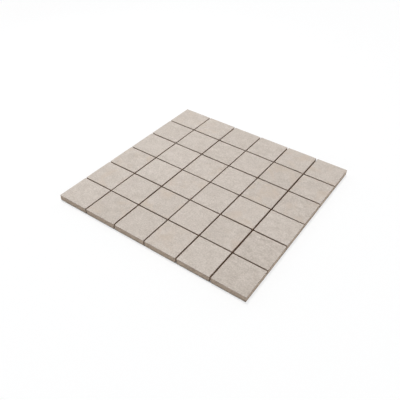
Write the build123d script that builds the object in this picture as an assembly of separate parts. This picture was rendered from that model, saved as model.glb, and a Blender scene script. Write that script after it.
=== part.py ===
# A sheet of porcelain floor mosaic: square tiles set on a woven glass-fibre net, with open joints.
# Millimetres. +Z is up and the net lies on Z = 0. The origin is the middle of the sheet's underside,
# +X runs along a row of tiles and +Y along a column.
import os

from build123d import *

# The sheet
tiles_across = 6  # tiles along X
tiles_deep = 6  # tiles along Y
joint_width = 1.5  # open joint between two tiles, for grout

# One tile
tile_side = 48.5
tile_thickness = 8.5
corner_ease = 0.4  # taken off the upright corners
arris = 0.3  # taken off the edges of the walking face

# Keying grooves pressed into a tile's underside, along Y
groove_count = 3
groove_width = 8.0
groove_depth = 0.6
groove_border = 5.0  # plain land between the grooves and the tile's walls
groove_draft = 30.0  # slope of a groove's sides, in degrees

# The net: strands along Y below, strands along X above them, bonded where they cross
strands_per_tile = 4
strand_width = 1.2
strand_thickness = 0.25
net_inset = 2.0  # from the tiles' outer walls to the ends of the strands

# Worked out from the sizes above
tile_pitch = tile_side + joint_width
sheet_across = tiles_across * tile_pitch - joint_width
sheet_deep = tiles_deep * tile_pitch - joint_width
strand_pitch = tile_pitch / strands_per_tile
net_across = sheet_across - 2 * net_inset
net_deep = sheet_deep - 2 * net_inset
net_thickness = 2 * strand_thickness
# The net is kept in three panels. Their seams lie under the middles of the second tile columns
# from each side, so that every joint between tiles is crossed by unbroken strands.
seam_columns = (1, tiles_across - 2)
panel_names = ("left", "middle", "right")

lying = (Align.CENTER, Align.CENTER, Align.MIN)  # a solid whose underside is on Z = 0


def row_of(count, pitch):
    """Middles of a row of pieces, spread evenly about zero."""
    return [(i - (count - 1) / 2) * pitch for i in range(count)]


def make_tile():
    """One fired tile, lying on Z = 0: eased corners, eased top edges and a grooved underside."""
    tile = Box(tile_side, tile_side, tile_thickness, align=lying)
    tile = chamfer(tile.edges().filter_by(Axis.Z), corner_ease)
    walking_face = tile.faces().sort_by(Axis.Z)[-1]
    tile = chamfer(walking_face.edges(), arris)

    grooved_side = tile_side - 2 * groove_border
    groove_pitch = (grooved_side - groove_width) / (groove_count - 1)
    groove = extrude(Rectangle(groove_width, grooved_side), groove_depth, taper=groove_draft)
    return tile - [Pos(x, 0, 0) * groove for x in row_of(groove_count, groove_pitch)]


def make_net_panel(left, right):
    """The part of the net between two X positions, as one solid."""
    lengthwise = Box(strand_width, net_deep, strand_thickness, align=lying)
    crosswise = Box(right - left, strand_width, strand_thickness, align=lying)
    columns = row_of(tiles_across * strands_per_tile, strand_pitch)
    rows = row_of(tiles_deep * strands_per_tile, strand_pitch)
    lower = [Pos(x, 0, 0) * lengthwise for x in columns if left < x < right]
    upper = [Pos((left + right) / 2, y, strand_thickness) * crosswise for y in rows]
    return lower[0].fuse(*lower[1:], *upper)


def main():
    os.makedirs("parts", exist_ok=True)
    column_middles = row_of(tiles_across, tile_pitch)
    row_middles = row_of(tiles_deep, tile_pitch)

    tile = make_tile()
    for row, y in enumerate(row_middles, start=1):
        for column, x in enumerate(column_middles, start=1):
            export_step(Pos(x, y, net_thickness) * tile, f"parts/tile_row{row}_col{column}.step")

    seams = [column_middles[i] for i in seam_columns]
    edges = [-net_across / 2, *seams, net_across / 2]
    for name, left, right in zip(panel_names, edges, edges[1:]):
        export_step(make_net_panel(left, right), f"parts/backing_net_{name}.step")


main()
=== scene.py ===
import math
import random

import bmesh
import bpy
from mathutils import Matrix, Vector, noise


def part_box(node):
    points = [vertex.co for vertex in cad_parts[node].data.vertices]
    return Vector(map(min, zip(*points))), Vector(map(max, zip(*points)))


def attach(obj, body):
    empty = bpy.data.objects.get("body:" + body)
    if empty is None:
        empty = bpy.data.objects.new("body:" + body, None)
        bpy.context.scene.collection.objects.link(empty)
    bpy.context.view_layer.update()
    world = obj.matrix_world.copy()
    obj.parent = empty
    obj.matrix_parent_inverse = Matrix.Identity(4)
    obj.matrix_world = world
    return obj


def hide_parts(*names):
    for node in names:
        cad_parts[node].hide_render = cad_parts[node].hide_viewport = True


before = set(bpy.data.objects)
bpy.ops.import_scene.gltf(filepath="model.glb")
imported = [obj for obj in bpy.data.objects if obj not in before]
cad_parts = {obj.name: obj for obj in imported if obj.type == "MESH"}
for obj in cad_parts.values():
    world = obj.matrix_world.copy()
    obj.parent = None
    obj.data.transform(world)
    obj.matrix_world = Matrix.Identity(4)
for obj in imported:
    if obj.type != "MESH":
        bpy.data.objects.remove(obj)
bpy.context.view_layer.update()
mm = 0.001
tiny = 1e-7  # heights closer than this count as one
print("frame loaded:", len(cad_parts), "nodes")

# The sheet's layout, with its sizes read off the frame
rowCount = 6
columnCount = 6
strandsPerTile = 4
tileNodes = {
    (row, column): f"tile_row{row}_col{column}"
    for row in range(1, rowCount + 1)
    for column in range(1, columnCount + 1)
}
netNodes = ["backing_net_left", "backing_net_middle", "backing_net_right"]
firstLow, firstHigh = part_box(tileNodes[1, 1])
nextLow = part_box(tileNodes[1, 2])[0]
tileSide = firstHigh.x - firstLow.x
tilePitch = nextLow.x - firstLow.x
tileFoot = firstLow.z
sheetHalf = (tilePitch * (columnCount - 1) + tileSide) / 2
strandPitch = tilePitch / strandsPerTile
white = (1.0, 1.0, 1.0, 1.0)


# Small node helpers

def newMaterial(name):
    material = bpy.data.materials.new(name)
    material.use_nodes = True
    tree = material.node_tree
    tree.nodes.clear()
    return material, tree


def feed(tree, socket, value):
    if isinstance(value, bpy.types.NodeSocket):
        tree.links.new(value, socket)
    else:
        socket.default_value = value


def addNode(tree, kind, inputs=None, **settings):
    node = tree.nodes.new(kind)
    for key, value in settings.items():
        setattr(node, key, value)
    for key, value in (inputs or {}).items():
        feed(tree, node.inputs[key], value)
    return node


def doMath(tree, operation, a, b=0.0):
    return addNode(tree, "ShaderNodeMath", {0: a, 1: b}, operation=operation).outputs[0]


def doVector(tree, operation, a, b=(0.0, 0.0, 0.0)):
    return addNode(tree, "ShaderNodeVectorMath", {0: a, 1: b}, operation=operation).outputs[0]


def remap(tree, value, fromLow, fromHigh, toLow, toHigh, smooth=False):
    node = addNode(tree, "ShaderNodeMapRange", {0: value, 1: fromLow, 2: fromHigh, 3: toLow, 4: toHigh})
    node.interpolation_type = "SMOOTHSTEP" if smooth else "LINEAR"
    return node.outputs[0]


def mixValue(tree, factor, a, b):
    return addNode(tree, "ShaderNodeMix", {0: factor, 2: a, 3: b}).outputs[0]


def mixColour(tree, factor, a, b, blend="MIX"):
    node = addNode(tree, "ShaderNodeMix", {0: factor, 6: a, 7: b}, data_type="RGBA", blend_type=blend)
    return node.outputs[2]


def noiseAt(tree, vector, scale, detail=2.0, roughness=0.5, distortion=0.0):
    node = addNode(tree, "ShaderNodeTexNoise", {
        "Vector": vector,
        "Scale": scale,
        "Detail": detail,
        "Roughness": roughness,
        "Distortion": distortion,
    })
    return node.outputs["Fac"]


def objectCoords(tree):
    return addNode(tree, "ShaderNodeTexCoord").outputs["Object"]


def splitVector(tree, vector):
    return addNode(tree, "ShaderNodeSeparateXYZ", {0: vector}).outputs


def newGroup(name, inputs, outputs):
    group = bpy.data.node_groups.new(name, "ShaderNodeTree")
    for label, kind, value in inputs:
        socket = group.interface.new_socket(label, in_out="INPUT", socket_type=kind)
        if value is not None:
            socket.default_value = value
    for label in outputs:
        group.interface.new_socket(label, in_out="OUTPUT", socket_type="NodeSocketFloat")
    return group, group.nodes.new("NodeGroupInput").outputs, group.nodes.new("NodeGroupOutput").inputs


def useGroup(tree, group, inputs):
    return addNode(tree, "ShaderNodeGroup", inputs, node_tree=group).outputs


def finishMaterial(tree, look, colour, rough, height):
    bump = addNode(tree, "ShaderNodeBump", {
        "Height": height, "Strength": look["bumpStrength"], "Distance": look["bumpHeight"]})
    shader = addNode(tree, "ShaderNodeBsdfPrincipled", {
        "Base Color": colour, "Roughness": rough, "Normal": bump.outputs[0],
        "Specular IOR Level": look["sheen"]})
    addNode(tree, "ShaderNodeOutputMaterial", {"Surface": shader.outputs[0]})


# The stone design that the tiles are printed with: each tile is cut from its own place of it
printSpec = {
    "cloudScale": 75.0,
    "streakScale": 170.0,
    "mottleScale": 560.0,
    "ochreScale": 0.6,  # of the cloud scale
    "ochreEdge": (0.45, 0.72),
    "streakTurn": math.radians(8.0),
    "streakDrawn": (0.45, 1.0, 1.0),  # the streaks run along the rows
    "lotSpread": (7.0, 9.0, 11.0),  # how far apart two tiles' places may be, in metres
}


def makeStonePrintGroup():
    spec = printSpec
    group, given, made = newGroup(
        "stonePrint",
        [
            ("Vector", "NodeSocketVector", None),
            ("Pitch", "NodeSocketFloat", tilePitch),
            ("Cloud Scale", "NodeSocketFloat", spec["cloudScale"]),
            ("Streak Scale", "NodeSocketFloat", spec["streakScale"]),
            ("Mottle Scale", "NodeSocketFloat", spec["mottleScale"]),
        ],
        ["Cloud", "Streak", "Mottle", "Ochre"],
    )
    place = given["Vector"]
    pitch = given["Pitch"]
    cellSize = addNode(group, "ShaderNodeCombineXYZ", {0: pitch, 1: pitch, 2: 1.0}).outputs[0]
    cell = doVector(group, "FLOOR", doVector(group, "DIVIDE", place, cellSize))
    lot = addNode(group, "ShaderNodeTexWhiteNoise", {"Vector": cell}, noise_dimensions="3D")
    shift = doVector(group, "MULTIPLY", lot.outputs["Color"], spec["lotSpread"])
    own = doVector(group, "ADD", place, shift)

    cloud = noiseAt(group, own, given["Cloud Scale"], detail=4.0, roughness=0.55, distortion=0.5)
    turned = addNode(group, "ShaderNodeVectorRotate", {"Vector": own, "Angle": spec["streakTurn"]},
                     rotation_type="Z_AXIS").outputs[0]
    drawn = doVector(group, "MULTIPLY", turned, spec["streakDrawn"])
    streak = noiseAt(group, drawn, given["Streak Scale"], detail=3.0, roughness=0.6, distortion=0.7)
    mottle = noiseAt(group, own, given["Mottle Scale"], detail=3.0, roughness=0.6, distortion=0.3)
    patchScale = doMath(group, "MULTIPLY", given["Cloud Scale"], spec["ochreScale"])
    patch = noiseAt(group, own, patchScale, detail=3.0, roughness=0.55, distortion=0.8)
    ochre = remap(group, patch, *spec["ochreEdge"], 0.0, 1.0, smooth=True)
    for label, socket in (("Cloud", cloud), ("Streak", streak), ("Mottle", mottle), ("Ochre", ochre)):
        feed(group, made[label], socket)
    return group


# The fired clay itself: a fine grain, pores, and specks of other minerals, dark ones and pale ones
grainSpec = {
    "grainScale": 1800.0,
    "grainEdge": (0.3, 0.7),
    "speckScale": 0.8,  # of the grain scale, and so are the next two
    "raggedScale": 3.0,
    "poreScale": 0.45,
    "raggedDepth": 0.3,
    "speckEdge": (0.24, 0.40),
    "poreEdge": (0.28, 0.38),
    "darkFrom": 0.84,  # a speck's lot runs from 0 to 1: the highest are dark, the lowest pale
    "paleTo": 0.12,
}


def makeFiredGrainGroup():
    spec = grainSpec
    group, given, made = newGroup(
        "firedGrain",
        [("Vector", "NodeSocketVector", None), ("Grain Scale", "NodeSocketFloat", spec["grainScale"])],
        ["Grain", "Fleck", "Crystal", "Pit"],
    )
    place = given["Vector"]
    scale = given["Grain Scale"]
    fired = noiseAt(group, place, scale, detail=4.0, roughness=0.7)
    grain = remap(group, fired, *spec["grainEdge"], 0.0, 1.0)

    # specks, uneven in outline and size
    ragged = noiseAt(group, place, doMath(group, "MULTIPLY", scale, spec["raggedScale"]))
    cells = addNode(group, "ShaderNodeTexVoronoi", {
        "Vector": place, "Scale": doMath(group, "MULTIPLY", scale, spec["speckScale"])})
    uneven = doMath(group, "MULTIPLY", ragged, spec["raggedDepth"])
    reach = doMath(group, "ADD", cells.outputs["Distance"], uneven)
    speck = remap(group, reach, *spec["speckEdge"], 1.0, 0.0, smooth=True)
    lot = addNode(group, "ShaderNodeSeparateColor", {"Color": cells.outputs["Color"]}).outputs[0]
    fleck = doMath(group, "MULTIPLY", speck, doMath(group, "GREATER_THAN", lot, spec["darkFrom"]))
    crystal = doMath(group, "MULTIPLY", speck, doMath(group, "LESS_THAN", lot, spec["paleTo"]))

    poreScale = doMath(group, "MULTIPLY", scale, spec["poreScale"])
    pores = noiseAt(group, place, poreScale, detail=3.0, roughness=0.6)
    pit = remap(group, pores, *spec["poreEdge"], 1.0, 0.0, smooth=True)
    for label, socket in (("Grain", grain), ("Fleck", fleck), ("Crystal", crystal), ("Pit", pit)):
        feed(group, made[label], socket)
    return group


stonePrint = makeStonePrintGroup()
firedGrain = makeFiredGrainGroup()
print("stone print and fired grain made")

# The walking face
faceLook = {
    "stoneLight": (0.632, 0.563, 0.505, 1.0),
    "stoneDark": (0.408, 0.351, 0.300, 1.0),
    "ochre": (0.530, 0.428, 0.340, 1.0),
    "fleck": (0.33, 0.28, 0.235, 1.0),
    "crystal": (0.70, 0.65, 0.60, 1.0),
    "toneDepth": 0.14,
    "cloudDepth": 0.78,
    "mottleDepth": 1.9,
    "grainDepth": 0.35,
    "streakDepth": 1.10,
    "fleckShare": 0.45,
    "crystalShare": 0.5,
    # painted shade: how far the pores are darkened towards the fleck colour
    "pitShadeShare": 0.35,
    "roughness": (0.56, 0.72),
    "sheen": 0.5,
    "bumpStrength": 0.5,
    "bumpHeight": 0.05 * mm,
}


def makeFaceMaterial():
    look = faceLook
    material, tree = newMaterial("stoneFace")
    coords = objectCoords(tree)
    lot = addNode(tree, "ShaderNodeAttribute", attribute_name="tileLot").outputs["Color"]
    tone, streaky, ochrous = addNode(tree, "ShaderNodeSeparateColor", {0: lot}).outputs[:3]
    design = useGroup(tree, stonePrint, {"Vector": coords})
    clay = useGroup(tree, firedGrain, {"Vector": coords})

    # each layer moves the stone between its dark and its light tone
    layers = (
        (tone, look["toneDepth"]),
        (design["Cloud"], look["cloudDepth"]),
        (design["Mottle"], look["mottleDepth"]),
        (clay["Grain"], look["grainDepth"]),
        (design["Streak"], doMath(tree, "MULTIPLY", streaky, look["streakDepth"])),
    )
    pale = 0.5
    for layer, depth in layers:
        swing = doMath(tree, "MULTIPLY", doMath(tree, "SUBTRACT", layer, 0.5), depth)
        pale = doMath(tree, "ADD", pale, swing)
    colour = mixColour(tree, pale, look["stoneDark"], look["stoneLight"])
    colour = mixColour(tree, doMath(tree, "MULTIPLY", design["Ochre"], ochrous), colour, look["ochre"])

    # dark and pale specks of other minerals, and painted shade in the pores in the dark fleck colour
    specks = (
        ("Fleck", "fleckShare", "fleck"),
        ("Crystal", "crystalShare", "crystal"),
        ("Pit", "pitShadeShare", "fleck"),
    )
    for speck, share, tint in specks:
        blend = doMath(tree, "MULTIPLY", clay[speck], look[share])
        colour = mixColour(tree, blend, colour, look[tint])
    rough = remap(tree, clay["Grain"], 0.0, 1.0, *look["roughness"])
    finishMaterial(tree, look, colour, rough, doMath(tree, "SUBTRACT", clay["Grain"], clay["Pit"]))
    return material


# The walls and the back: bare fired clay, with painted shade that darkens it towards the foot, a pale
# kiln wash on the lands of the back, and a haze of glue beside the net
bodyLook = {
    "clay": (0.446, 0.335, 0.2535, 1.0),
    "fleckPale": (0.60, 0.52, 0.45, 1.0),
    "fleckDark": (0.24, 0.18, 0.14, 1.0),
    "fleckShare": 0.5,
    "cloudScale": 160.0,
    "cloudDepth": 0.5,
    "mottleScale": 620.0,
    "mottleDepth": 0.5,
    "grainScale": 1400.0,
    # painted shade: how dark the walls are painted at their foot, fading out over footHeight
    "footShade": 0.80,
    "footHeight": 3.0 * mm,
    "wash": (0.56, 0.53, 0.48, 1.0),
    "washShare": 0.65,
    "washEdge": (0.05 * mm, 0.30 * mm),  # heights over the foot between which it fades
    "washRubbed": 0.35,  # what is left of it where it is thinnest
    "rubbedEdge": (0.35, 0.55),
    "glue": (0.63, 0.60, 0.53, 1.0),
    "glueShare": 0.55,
    "glueEdge": (0.05 * mm, 0.15 * mm),
    "glueReach": 1.5 * mm,  # to each side of a strand's middle
    "glueFade": (0.6, 1.4),  # shares of the reach between which the haze ends
    "glueRoughness": 0.42,
    "roughness": (0.78, 0.92),
    "sheen": 0.1,
    "bumpStrength": 0.6,
    "bumpHeight": 0.06 * mm,
}


def shadeBy(tree, shade, layer, depth):
    swung = remap(tree, layer, 0.0, 1.0, 1.0 - depth / 2, 1.0 + depth / 2)
    return doMath(tree, "MULTIPLY", shade, swung)


def fadeUp(tree, height, edge, share, smooth=False):
    return remap(tree, height, tileFoot + edge[0], tileFoot + edge[1], share, 0.0, smooth)


def makeBodyMaterial():
    look = bodyLook
    material, tree = newMaterial("firedBody")
    coords = objectCoords(tree)
    across, along, height = splitVector(tree, coords)
    design = useGroup(tree, stonePrint, {
        "Vector": coords, "Cloud Scale": look["cloudScale"], "Mottle Scale": look["mottleScale"]})
    clay = useGroup(tree, firedGrain, {"Vector": coords, "Grain Scale": look["grainScale"]})
    colour = look["clay"]
    for speck, tint in (("Crystal", "fleckPale"), ("Fleck", "fleckDark")):
        blend = doMath(tree, "MULTIPLY", clay[speck], look["fleckShare"])
        colour = mixColour(tree, blend, colour, look[tint])
    # painted shade: the clay is darkened towards the foot of the walls and on the back
    footTop = tileFoot + look["footHeight"]
    shade = remap(tree, height, tileFoot, footTop, look["footShade"], 1.0, smooth=True)
    shade = shadeBy(tree, shade, design["Cloud"], look["cloudDepth"])
    shade = shadeBy(tree, shade, design["Mottle"], look["mottleDepth"])
    grey = addNode(tree, "ShaderNodeCombineColor", {0: shade, 1: shade, 2: shade}).outputs[0]
    colour = mixColour(tree, 1.0, colour, grey, "MULTIPLY")

    # the wash lies on what touches the kiln's rollers, and is rubbed thin in places
    onBack = fadeUp(tree, height, look["washEdge"], look["washShare"], smooth=True)
    rubbed = remap(tree, design["Cloud"], *look["rubbedEdge"], look["washRubbed"], 1.0, smooth=True)
    colour = mixColour(tree, doMath(tree, "MULTIPLY", onBack, rubbed), colour, look["wash"])

    # the glue that holds the net dried to a thin haze beside the strands
    acrossAt, alongAt = (
        doMath(tree, "PINGPONG", doMath(tree, "ADD", at, strandPitch / 2), strandPitch / 2)
        for at in (across, along)
    )
    ragged = doMath(tree, "MULTIPLY", design["Mottle"], look["glueReach"])
    reach = doMath(tree, "ADD", doMath(tree, "MINIMUM", acrossAt, alongAt), ragged)
    fadeFrom, fadeTo = (look["glueReach"] * share for share in look["glueFade"])
    haze = remap(tree, reach, fadeFrom, fadeTo, 1.0, 0.0, smooth=True)
    glued = doMath(tree, "MULTIPLY", haze, fadeUp(tree, height, look["glueEdge"], look["glueShare"]))
    colour = mixColour(tree, glued, colour, look["glue"])
    dry = remap(tree, clay["Grain"], 0.0, 1.0, *look["roughness"])
    rough = mixValue(tree, glued, dry, look["glueRoughness"])
    finishMaterial(tree, look, colour, rough, doMath(tree, "SUBTRACT", clay["Grain"], clay["Pit"]))
    return material


stoneFace = makeFaceMaterial()
firedBody = makeBodyMaterial()
print("stone and body materials made")

# One tile: a pressed square with rounded corners, a soft arris and keying grooves in its back
tileSpec = {
    "cells": 24,
    "cornerRadius": 0.4 * mm,
    "cornerSteps": 4,
    "arris": 0.42 * mm,
    "arrisSteps": 4,
    "footEase": 0.35 * mm,
    "footSteps": 2,
    "grooveCount": 3,
    "grooveWidth": 8.0 * mm,
    "grooveDepth": 0.6 * mm,
    "grooveBorder": 5.0 * mm,
    "grooveSlope": math.radians(30.0),
    "relief": 0.05 * mm,
    "reliefSize": 9.0 * mm,
}
# The tiles as they were laid, in millimetres. Joints, left to right and front to back: width, and how
# far off the grid line. Then each column's slip, positive to the back, and how far a single edge strays.
layingSpec = {
    "columnJoints": ((1.80, -0.35), (2.10, 0.14), (1.74, 0.12), (1.96, -0.14), (2.30, -0.15)),
    "rowJoints": ((1.94, 0.10), (2.15, 0.11), (1.88, -0.02), (2.20, 0.28), (2.22, 0.12)),
    "columnSlip": (0.18, 0.0, -0.36, -0.08, 0.22, 0.04),
    "stray": 0.12,
}
# How the tiles' cuts of the stone came out, by row and column. Most are quiet; a few are warmer,
# streaked along the row or ochre in places. A tone, 0 dark to 1 pale, stands in for the drawn one.
tileCharacter = {
    "streak": 0.35,
    "ochre": 0.08,
    "warmOchre": 0.45,
    "warm": (
        (1, 2), (1, 4), (2, 1), (3, 3), (3, 5), (4, 3),
        (4, 6), (5, 5), (5, 6), (6, 2), (6, 5), (6, 6),
    ),
    "streaked": {
        (1, 6): 1.0, (2, 6): 1.0, (3, 6): 0.7, (5, 6): 0.6,
        (4, 6): 0.6, (2, 5): 0.6, (5, 3): 0.7,
    },
    "ochrous": {(4, 5): 0.6, (2, 3): 0.5, (3, 1): 0.5, (2, 5): 0.4, (6, 1): 0.3},
    "tone": {
        (1, 6): 0.0, (2, 6): 0.0, (5, 1): 0.0,
        (3, 2): 1.0, (3, 3): 1.0, (3, 5): 1.0, (4, 4): 1.0, (6, 6): 1.0,
    },
}
tileSeed = random.Random(36)


def tileEdges(low, high, joints, index, slip=0.0):
    # outer edges stay within the sheet's box, the others follow the joints
    halfGap = (tilePitch - tileSide) / 2
    stray = layingSpec["stray"]
    start = low + max(slip, 0.0) * mm
    stop = high + min(slip, 0.0) * mm
    if index > 0:
        width, offset = joints[index - 1]
        start = low - halfGap + (offset + width / 2 + slip + tileSeed.uniform(-stray, stray)) * mm
    if index < len(joints):
        width, offset = joints[index]
        stop = high + halfGap + (offset - width / 2 + slip + tileSeed.uniform(-stray, stray)) * mm
    return start, stop


def atHeight(points, height):
    return all(abs(v.co.z - height) < tiny for v in points)


def isRim(e, height):
    steep = any(abs(f.normal.z) < 0.5 for f in e.link_faces)
    return atHeight(e.verts, height) and steep


def rimEdges(bm, height):
    bm.normal_update()
    return [e for e in bm.edges if isRim(e, height)]


def roundEdges(bm, edges, size, steps):
    bmesh.ops.bevel(bm, geom=edges, offset=size, segments=steps,
                    profile=0.5, affect="EDGES", material=-1)


def pressTile(half, foot, top):
    spec = tileSpec
    bm = bmesh.new()
    bmesh.ops.create_grid(bm, x_segments=spec["cells"], y_segments=spec["cells"], size=1.0)
    bmesh.ops.scale(bm, verts=bm.verts, vec=(half.x, half.y, 1.0))
    bmesh.ops.translate(bm, verts=bm.verts, vec=(0.0, 0.0, top))

    # walls and back
    walls = bmesh.ops.extrude_edge_only(bm, edges=[e for e in bm.edges if e.is_boundary])
    lower = [g for g in walls["geom"] if isinstance(g, bmesh.types.BMVert)]
    bmesh.ops.translate(bm, verts=lower, vec=(0.0, 0.0, foot - top))
    bmesh.ops.contextual_create(bm, geom=[e for e in bm.edges if e.is_boundary])

    slack = 0.01 * mm

    def atCorner(v):
        return abs(v.co.x) > half.x - slack and abs(v.co.y) > half.y - slack

    upright = [e for e in bm.edges if all(atCorner(v) for v in e.verts)]
    roundEdges(bm, upright, spec["cornerRadius"], spec["cornerSteps"])
    roundEdges(bm, rimEdges(bm, top), spec["arris"], spec["arrisSteps"])
    roundEdges(bm, rimEdges(bm, foot), spec["footEase"], spec["footSteps"])
    cutGrooves(bm, foot)
    bmesh.ops.recalc_face_normals(bm, faces=bm.faces)
    return bm


def cutGrooves(bm, foot):
    spec = tileSpec
    reach = tileSide / 2 - spec["grooveBorder"]
    pitch = (2 * reach - spec["grooveWidth"]) / (spec["grooveCount"] - 1)
    middles = [(i - (spec["grooveCount"] - 1) / 2) * pitch for i in range(spec["grooveCount"])]

    def backFaces(inside):
        return [f for f in bm.faces if atHeight(f.verts, foot) and inside(f.calc_center_median())]

    def cutBack(inside, point, normal):
        faces = backFaces(inside)
        edges = list({e for f in faces for e in f.edges})
        points = list({v for f in faces for v in f.verts})
        bmesh.ops.bisect_plane(bm, geom=faces + edges + points, plane_co=point, plane_no=normal)

    def anywhere(p):
        return True

    def betweenEnds(p):
        return abs(p.y) < reach / 2

    def inGroove(p):
        return betweenEnds(p) and any(abs(p.x - x) < spec["grooveWidth"] / 4 for x in middles)

    for side in (-1, 1):
        cutBack(anywhere, (0.0, side * reach, foot), (0.0, 1.0, 0.0))
    for x in middles:
        for side in (-1, 1):
            cutBack(betweenEnds, (x + side * spec["grooveWidth"] / 2, 0.0, foot), (1.0, 0.0, 0.0))
    grooves = backFaces(inGroove)
    bm.normal_update()
    inward = -1.0 if grooves[0].normal.z < 0 else 1.0
    thickness = spec["grooveDepth"] * math.tan(spec["grooveSlope"])
    bmesh.ops.inset_individual(bm, faces=grooves, thickness=thickness,
                               depth=inward * spec["grooveDepth"], use_even_offset=True)


def wearFace(bm, top, middle):
    # the walking face is a little uneven, as stone is
    for v in bm.verts:
        if v.co.z > top - tiny:
            sway = noise.noise((v.co + middle * 3.0) / tileSpec["reliefSize"])
            v.co.z -= tileSpec["relief"] * max(0.0, 0.5 + 0.5 * sway)
    bm.normal_update()
    for face in bm.faces:
        face.smooth = face.normal.z > 0.9
        face.material_index = 0 if face.normal.z > 0.05 else 1


def drawLot(bm, here):
    # tone, streaks and ochre of this tile, for the face's material
    own = tileCharacter
    tone = own["tone"].get(here, tileSeed.random())
    streaky = own["streaked"].get(here, own["streak"])
    ochrous = own["ochrous"].get(here, own["warmOchre"] if here in own["warm"] else own["ochre"])
    layer = bm.verts.layers.float_color.new("tileLot")
    for v in bm.verts:
        v[layer] = (tone, streaky, ochrous, 1.0)


def addToScene(name, data):
    added = bpy.data.objects.new(name, data)
    bpy.context.scene.collection.objects.link(added)
    return added


def addPiece(bm, name, materials, node):
    mesh = bpy.data.meshes.new(name)
    bm.to_mesh(mesh)
    bm.free()
    for material in materials:
        mesh.materials.append(material)
    piece = addToScene(name, mesh)
    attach(piece, "root")
    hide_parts(node)


def makeTile(row, column):
    node = tileNodes[row, column]
    low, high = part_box(node)
    slip = layingSpec["columnSlip"][column - 1]
    left, right = tileEdges(low.x, high.x, layingSpec["columnJoints"], column - 1)
    front, back = tileEdges(low.y, high.y, layingSpec["rowJoints"], row - 1, slip)
    middle = Vector(((left + right) / 2, (front + back) / 2, 0.0))
    half = Vector(((right - left) / 2, (back - front) / 2, 0.0))
    bm = pressTile(half, low.z, high.z)
    wearFace(bm, high.z, middle)
    bmesh.ops.translate(bm, verts=bm.verts, vec=middle)
    drawLot(bm, (row, column))
    addPiece(bm, f"stoneTile_{row}_{column}", (stoneFace, firedBody), node)


for place in tileNodes:
    makeTile(*place)
print("tiles made:", len(tileNodes))

# The net: twisted pairs of yarn along Y, flat yarns along X between them
netSpec = {
    "pairGap": 0.30 * mm,
    "pairHalfWidth": 0.30 * mm,
    "flatHalfWidth": 0.60 * mm,
    "yarnHalfHeight": 0.10 * mm,
    "lift": 0.13 * mm,
    "sides": 6,
    "stepsPerCell": 6,
}
yarnLook = {
    "light": (0.80, 0.79, 0.74, 1.0),
    "dark": (0.62, 0.60, 0.54, 1.0),
    "filamentAcross": 14000.0,  # noise scales across and along a yarn
    "filamentAlong": 500.0,
    "filamentEdge": (0.3, 0.7),
    "size": (0.74, 0.69, 0.58, 1.0),  # the stiffening size, yellower where it dried thick
    "sizeScale": 160.0,
    "sizeEdge": (0.42, 0.62),
    "sizeShare": 0.6,
    "roughness": (0.38, 0.6),
    "sheen": 0.5,
    "bumpStrength": 0.6,
    "bumpHeight": 0.03 * mm,
}


def makeFilamentGroup():
    group, given, made = newGroup(
        "glassFilament",
        [
            ("Vector", "NodeSocketVector", None),
            ("Stretch", "NodeSocketVector", (1.0, 1.0, 1.0)),
            ("Size Scale", "NodeSocketFloat", yarnLook["sizeScale"]),
        ],
        ["Filament", "Size"],
    )
    drawn = doVector(group, "MULTIPLY", given["Vector"], given["Stretch"])
    strands = noiseAt(group, drawn, 1.0, roughness=0.6)
    thick = noiseAt(group, given["Vector"], given["Size Scale"])
    feed(group, made["Filament"], remap(group, strands, *yarnLook["filamentEdge"], 0.0, 1.0))
    feed(group, made["Size"], remap(group, thick, *yarnLook["sizeEdge"], 0.0, 1.0, smooth=True))
    return group


glassFilament = makeFilamentGroup()


def makeYarnMaterial(name, stretch):
    look = yarnLook
    material, tree = newMaterial(name)
    yarn = useGroup(tree, glassFilament, {"Vector": objectCoords(tree), "Stretch": stretch})
    glass = mixColour(tree, yarn["Filament"], look["dark"], look["light"])
    thickBlend = doMath(tree, "MULTIPLY", yarn["Size"], look["sizeShare"])
    colour = mixColour(tree, thickBlend, glass, look["size"])
    rough = remap(tree, yarn["Filament"], 0.0, 1.0, *look["roughness"])
    finishMaterial(tree, look, colour, rough, yarn["Filament"])
    return material


fine, drawnOut = yarnLook["filamentAcross"], yarnLook["filamentAlong"]
yarnAlongY = makeYarnMaterial("glassYarnLengthwise", (fine, drawnOut, fine))
yarnAlongX = makeYarnMaterial("glassYarnCrosswise", (drawnOut, fine, fine))


def makeYarn(axis, length, halfWidth, bend=None):
    along = 1 if axis == "Y" else 0
    turn = Matrix.Rotation(math.radians(90.0), 4, "X" if axis == "Y" else "Y")
    size = Vector((halfWidth, halfWidth, netSpec["yarnHalfHeight"]))
    size[along] = 1.0
    steps = round(length / strandPitch * netSpec["stepsPerCell"])
    bm = bmesh.new()
    bmesh.ops.create_cone(bm, cap_ends=True, segments=netSpec["sides"], radius1=1.0,
                          radius2=1.0, depth=length,
                          matrix=Matrix.Diagonal((*size, 1.0)) @ turn)
    longEdges = [e for e in bm.edges if abs(e.verts[0].co[along] - e.verts[1].co[along]) > length / 2]
    bmesh.ops.subdivide_edges(bm, edges=longEdges, cuts=steps - 1)
    if bend:
        for v in bm.verts:
            v.co += bend(v.co)
    mesh = bpy.data.meshes.new("yarn")
    bm.to_mesh(mesh)
    bm.free()
    return mesh


def twistTo(side):
    # a yarn of a pair swings from side to side, and passes over and under the flat yarns
    def twist(p):
        swing = math.pi * (p.y / strandPitch - 0.5)
        across = netSpec["pairGap"] * math.cos(swing)
        lift = netSpec["lift"] * math.cos(2 * swing)
        return Vector((across, 0.0, lift)) * side

    return twist


def layYarns(bm, mesh, places):
    for place in places:
        before = len(bm.verts)
        bm.from_mesh(mesh)
        bm.verts.ensure_lookup_table()
        bmesh.ops.translate(bm, verts=bm.verts[before:], vec=place)
    bpy.data.meshes.remove(mesh)


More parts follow.
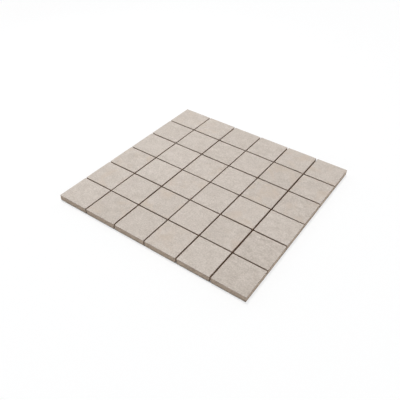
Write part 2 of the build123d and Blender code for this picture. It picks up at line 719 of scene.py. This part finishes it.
def makeNetPanel(node):
    low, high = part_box(node)
    middle = (low + high) / 2
    halfCount = rowCount * strandsPerTile // 2
    places = [(i + 0.5) * strandPitch for i in range(-halfCount, halfCount)]
    columns = [x for x in places if low.x < x < high.x]
    bm = bmesh.new()
    for side in (-1, 1):
        yarn = makeYarn("Y", high.y - low.y, netSpec["pairHalfWidth"], twistTo(side))
        layYarns(bm, yarn, [(x, middle.y, middle.z) for x in columns])
    lengthwise = set(bm.faces)
    yarn = makeYarn("X", high.x - low.x, netSpec["flatHalfWidth"])
    layYarns(bm, yarn, [(middle.x, y, middle.z) for y in places])

    for face in bm.faces:
        face.smooth = len(face.verts) == 4
        face.material_index = 0 if face in lengthwise else 1
    bmesh.ops.recalc_face_normals(bm, faces=bm.faces)
    addPiece(bm, node.replace("backing", "woven"), (yarnAlongY, yarnAlongX), node)


for node in netNodes:
    makeNetPanel(node)
print("net made")

# Floor, light and camera
studio = {
    "floorHalf": 6.0,
    "floorGlow": 0.75,
    "floorBounce": (0.68, 0.75, 0.80, 1.0),
    "glowMargin": 0.25 * mm,  # the glow starts this far inside the sheet's edge
    "zenith": 0.04,
    "horizon": 1.9,
    "sideways": 0.2,  # brighter from the right
    "squareOn": (0.1, 3.75),  # little light across the corners, most square to the sides
    "skyTint": (0.95, 1.0, 1.055, 1.0),
    "sunStrength": 1.90,
    "sunAngle": math.radians(12.0),
    "sunTint": (1.026, 1.0, 0.972),
    "sunFrom": (-0.30, 0.255, 1.0),
    "lampPlace": (-0.45, 0.25, 0.42),
    "lampSize": 0.3,
    "lampPower": 0.68,
    "lampTint": (0.92, 0.97, 1.0),
}
cameraLook = {
    "place": (0.29051, -0.46521, 0.43781),
    "aim": (0.01119, -0.04208, 0.009),
    "roll": math.radians(2.26),
    "lens": 43.3225,
    "sensor": 36.0,
    "nearest": 0.01,
}


def seenPlainly(tree):
    # 1 on what the camera sees, itself or in gloss or glass
    path = addNode(tree, "ShaderNodeLightPath").outputs
    mirrored = doMath(tree, "MAXIMUM", path["Is Glossy Ray"], path["Is Transmission Ray"])
    return doMath(tree, "MAXIMUM", path["Is Camera Ray"], mirrored)


def makeFloor():
    material, tree = newMaterial("paleFloor")
    across, along = splitVector(tree, objectCoords(tree))[:2]
    reach = doMath(tree, "MAXIMUM", doMath(tree, "ABSOLUTE", across), doMath(tree, "ABSOLUTE", along))
    clear = doMath(tree, "GREATER_THAN", reach, sheetHalf - studio["glowMargin"])
    paper = addNode(tree, "ShaderNodeBsdfDiffuse", {"Color": white})
    glow = addNode(tree, "ShaderNodeEmission", {"Color": white, "Strength": 1.0})
    floorGlow = doMath(tree, "MULTIPLY", clear, studio["floorGlow"])
    pale = addNode(tree, "ShaderNodeMixShader", {0: floorGlow, 1: paper.outputs[0], 2: glow.outputs[0]})
    dull = addNode(tree, "ShaderNodeBsdfDiffuse", {"Color": studio["floorBounce"]})
    seen = seenPlainly(tree)
    both = addNode(tree, "ShaderNodeMixShader", {0: seen, 1: dull.outputs[0], 2: pale.outputs[0]})
    addNode(tree, "ShaderNodeOutputMaterial", {"Surface": both.outputs[0]})
    bm = bmesh.new()
    bmesh.ops.create_grid(bm, x_segments=1, y_segments=1, size=studio["floorHalf"])
    mesh = bpy.data.meshes.new("paleFloor")
    bm.to_mesh(mesh)
    bm.free()
    mesh.materials.append(material)
    addToScene("paleFloor", mesh)


def makeWorld():
    world = bpy.data.worlds.new("studioWorld")
    world.use_nodes = True
    tree = world.node_tree
    tree.nodes.clear()
    seen = seenPlainly(tree)
    facing = addNode(tree, "ShaderNodeTexCoord").outputs["Generated"]
    side, depth, height = splitVector(tree, facing)
    low = doMath(tree, "POWER", remap(tree, height, 0.0, 1.0, 1.0, 0.0), 2.0)
    glow = remap(tree, low, 0.0, 1.0, studio["zenith"], studio["horizon"])
    lean = remap(tree, side, -1.0, 1.0, 1.0 - studio["sideways"], 1.0 + studio["sideways"])
    glow = doMath(tree, "MULTIPLY", glow, lean)

    # 1 square to the sheet's sides, 0 across its corners
    wide = doMath(tree, "ABSOLUTE", side)
    deep = doMath(tree, "ABSOLUTE", depth)
    apart = doMath(tree, "ABSOLUTE", doMath(tree, "SUBTRACT", wide, deep))
    together = doMath(tree, "MAXIMUM", doMath(tree, "ADD", wide, deep), 0.001)  # never 0 at the zenith
    square = doMath(tree, "POWER", doMath(tree, "DIVIDE", apart, together), 2.0)
    glow = doMath(tree, "MULTIPLY", glow, remap(tree, square, 0.0, 1.0, *studio["squareOn"]))
    sky = mixColour(tree, seen, studio["skyTint"], white)
    strength = mixValue(tree, seen, glow, 1.0)
    back = addNode(tree, "ShaderNodeBackground", {"Color": sky, "Strength": strength})
    addNode(tree, "ShaderNodeOutputWorld", {"Surface": back.outputs[0]})
    bpy.context.scene.world = world


def makeLamps():
    sun = bpy.data.lights.new("softOverhead", "SUN")
    sun.energy = studio["sunStrength"]
    sun.angle = studio["sunAngle"]
    sun.color = studio["sunTint"]
    sunObject = addToScene("softOverhead", sun)
    sunObject.rotation_euler = Vector(studio["sunFrom"]).to_track_quat("Z", "Y").to_euler()
    lamp = bpy.data.lights.new("leftSoftbox", "AREA")
    lamp.energy = studio["lampPower"]
    lamp.size = studio["lampSize"]
    lamp.color = studio["lampTint"]
    lampObject = addToScene("leftSoftbox", lamp)
    lampObject.location = studio["lampPlace"]
    lampObject.rotation_euler = (-lampObject.location).to_track_quat("-Z", "Y").to_euler()
    lampObject.visible_camera = False


def makeCamera():
    camera = bpy.data.cameras.new("photoCamera")
    camera.lens = cameraLook["lens"]
    camera.sensor_width = cameraLook["sensor"]
    camera.clip_start = cameraLook["nearest"]
    place = Vector(cameraLook["place"])
    facing = (Vector(cameraLook["aim"]) - place).to_track_quat("-Z", "Y").to_matrix().to_4x4()
    roll = Matrix.Rotation(cameraLook["roll"], 4, "Z")
    cameraObject = addToScene("photoCamera", camera)
    cameraObject.matrix_world = Matrix.Translation(place) @ facing @ roll
    bpy.context.scene.camera = cameraObject


makeFloor()
makeWorld()
makeLamps()
makeCamera()
bpy.context.scene.view_settings.view_transform = "Standard"
print("studio made")
